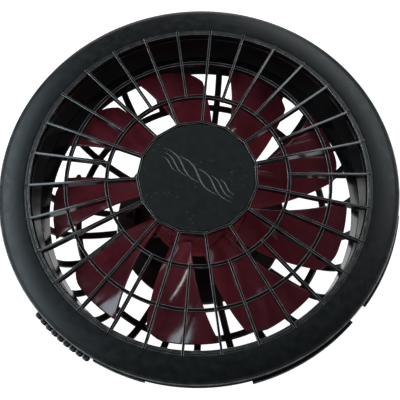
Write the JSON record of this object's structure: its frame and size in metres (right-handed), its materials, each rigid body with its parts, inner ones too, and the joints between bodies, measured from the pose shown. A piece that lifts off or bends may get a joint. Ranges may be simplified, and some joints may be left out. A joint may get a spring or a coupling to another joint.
{
  "type": "solar attic fan",
  "caption": "Round attic fan unit: twist-lock domed front grille and bezel, flanged duct, maroon impeller on a DC motor, and a bowl-shaped rear guard with a motor cover.",
  "frame": {"origin": "centre of the rear cover's resting face, under the fan's axis", "axes": "+Z along the fan's axis towards the grille; +X to the right in the picture's view, the cable inlet on the -X side"},
  "size_m": [0.322, 0.322, 0.1271],
  "materials": {
    "bezel_plastic": "satin black injection-moulded plastic with a fine spark texture",
    "grille_plastic": "satin black moulded plastic",
    "badge_plastic": "matte greenish-black, fine grain",
    "duct_plastic": "glossy black moulded plastic",
    "impeller_plastic": "gloss maroon moulded plastic",
    "guard_plastic": "satin black moulded plastic",
    "cover_plastic": "satin black moulded plastic",
    "gasket_foam": "closed-cell foam rubber",
    "black_rubber": "moulded rubber",
    "can_steel": "zinc-plated drawn steel",
    "screw_steel": "zinc-plated steel",
    "shaft_steel": "ground steel",
    "core_steel": "stacked steel laminations",
    "magnet_ferrite": "sintered ferrite",
    "bearing_bronze": "oil-filled sintered bronze",
    "copper": "enamelled copper wire and copper segments",
    "tab_brass": "stamped brass",
    "brush_carbon": "copper-graphite",
    "natural_nylon": "natural nylon",
    "end_bell_plastic": "glass-filled nylon",
    "red_insulation": "PVC insulation",
    "black_insulation": "PVC insulation"
  },
  "bodies": {
    "frame": {"duct_housing": "duct_plastic", "flange_gasket": "gasket_foam", "rear_guard": "guard_plastic", "motor_plate": "guard_plastic", "rear_cover": "cover_plastic", "cable_grommet": "black_rubber", "terminal_block": "natural_nylon", "motor_lead_red": "red_insulation", "motor_lead_black": "black_insulation", "motor_sleeve": "black_rubber", "motor_clamp": "guard_plastic", "motor_can": "can_steel", "end_bell": "end_bell_plastic", "front_bearing": "bearing_bronze", "rear_bearing": "bearing_bronze", "magnet_left": "magnet_ferrite", "magnet_right": "magnet_ferrite", "brush_left": "brush_carbon", "brush_right": "brush_carbon", "brush_holder_left": "tab_brass", "brush_holder_right": "tab_brass", "motor_tab_left": "tab_brass", "motor_tab_right": "tab_brass", "guard_screw_1": "screw_steel", "guard_screw_2": "screw_steel", "guard_screw_3": "screw_steel", "guard_screw_4": "screw_steel", "cover_screw_1": "screw_steel", "cover_screw_2": "screw_steel", "cover_screw_3": "screw_steel", "clamp_screw_1": "screw_steel", "clamp_screw_2": "screw_steel", "clamp_screw_3": "screw_steel", "motor_screw_1": "screw_steel", "motor_screw_2": "screw_steel"},
    "front_guard": {"front_bezel": "bezel_plastic", "front_grille": "grille_plastic", "centre_badge": "badge_plastic"},
    "rotor": {"impeller": "impeller_plastic", "motor_shaft": "shaft_steel", "armature_core": "core_steel", "winding_front": "copper", "winding_rear": "copper", "commutator": "copper", "thrust_washer": "natural_nylon", "hub_washer": "screw_steel", "hub_nut": "screw_steel", "drive_pin": "shaft_steel"}
  },
  "joints": [
    {"name": "fan_spin", "type": "hinge", "parent": "frame", "child": "rotor", "pos_m": [0, 0, 0.06], "axis": [0, 0, 1], "continuous": true},
    {"name": "guard_twist", "type": "hinge", "parent": "frame", "child": "front_guard", "pos_m": [0, 0, 0.1], "axis": [0, 0, 1], "range_deg": [0, 14]}
  ]
}
